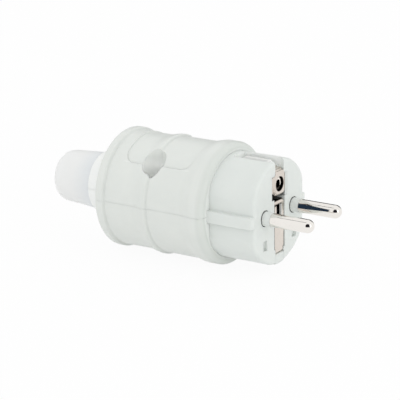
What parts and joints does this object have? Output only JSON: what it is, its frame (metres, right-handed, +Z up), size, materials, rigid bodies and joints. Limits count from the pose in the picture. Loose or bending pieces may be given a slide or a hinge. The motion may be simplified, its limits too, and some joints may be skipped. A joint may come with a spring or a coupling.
{
  "type": "electrical plug",
  "caption": "Straight rewirable mains plug with two round pins, side earth strips, an earth socket, a two-part housing and a soft cable sleeve",
  "frame": {"origin": "on the engagement face, midway between the two line pins", "axes": "+X along the plug towards the pin tips, +Y from the near pin to the far pin, +Z up towards the earth socket"},
  "size_m": [0.1105, 0.0436, 0.0436],
  "materials": {
    "housing": "satin",
    "insert": "satin",
    "collar": "satin",
    "nickel": "polished nickel plate",
    "contact_bronze": "bright",
    "screw_steel": "zinc plate",
    "sleeve": "soft, slightly translucent"
  },
  "bodies": {
    "root": {"housing_upper": "housing", "housing_lower": "housing", "contact_insert": "insert", "pin_retainer": "insert", "retainer_screw": "screw_steel", "earth_bracket": "nickel", "earth_socket_contact": "contact_bronze", "earth_terminal_washer": "screw_steel", "earth_terminal_screw": "screw_steel", "cable_sleeve": "sleeve", "cord_clamp_bar": "insert", "line_pin_left": "nickel", "line_pin_right": "nickel", "pin_collar_left": "collar", "pin_collar_right": "collar", "terminal_screw_left": "screw_steel", "terminal_screw_right": "screw_steel", "housing_screw_left": "screw_steel", "housing_screw_right": "screw_steel", "housing_nut_left": "screw_steel", "housing_nut_right": "screw_steel", "cord_clamp_screw_left": "screw_steel", "cord_clamp_screw_right": "screw_steel"}
  },
  "joints": []
}
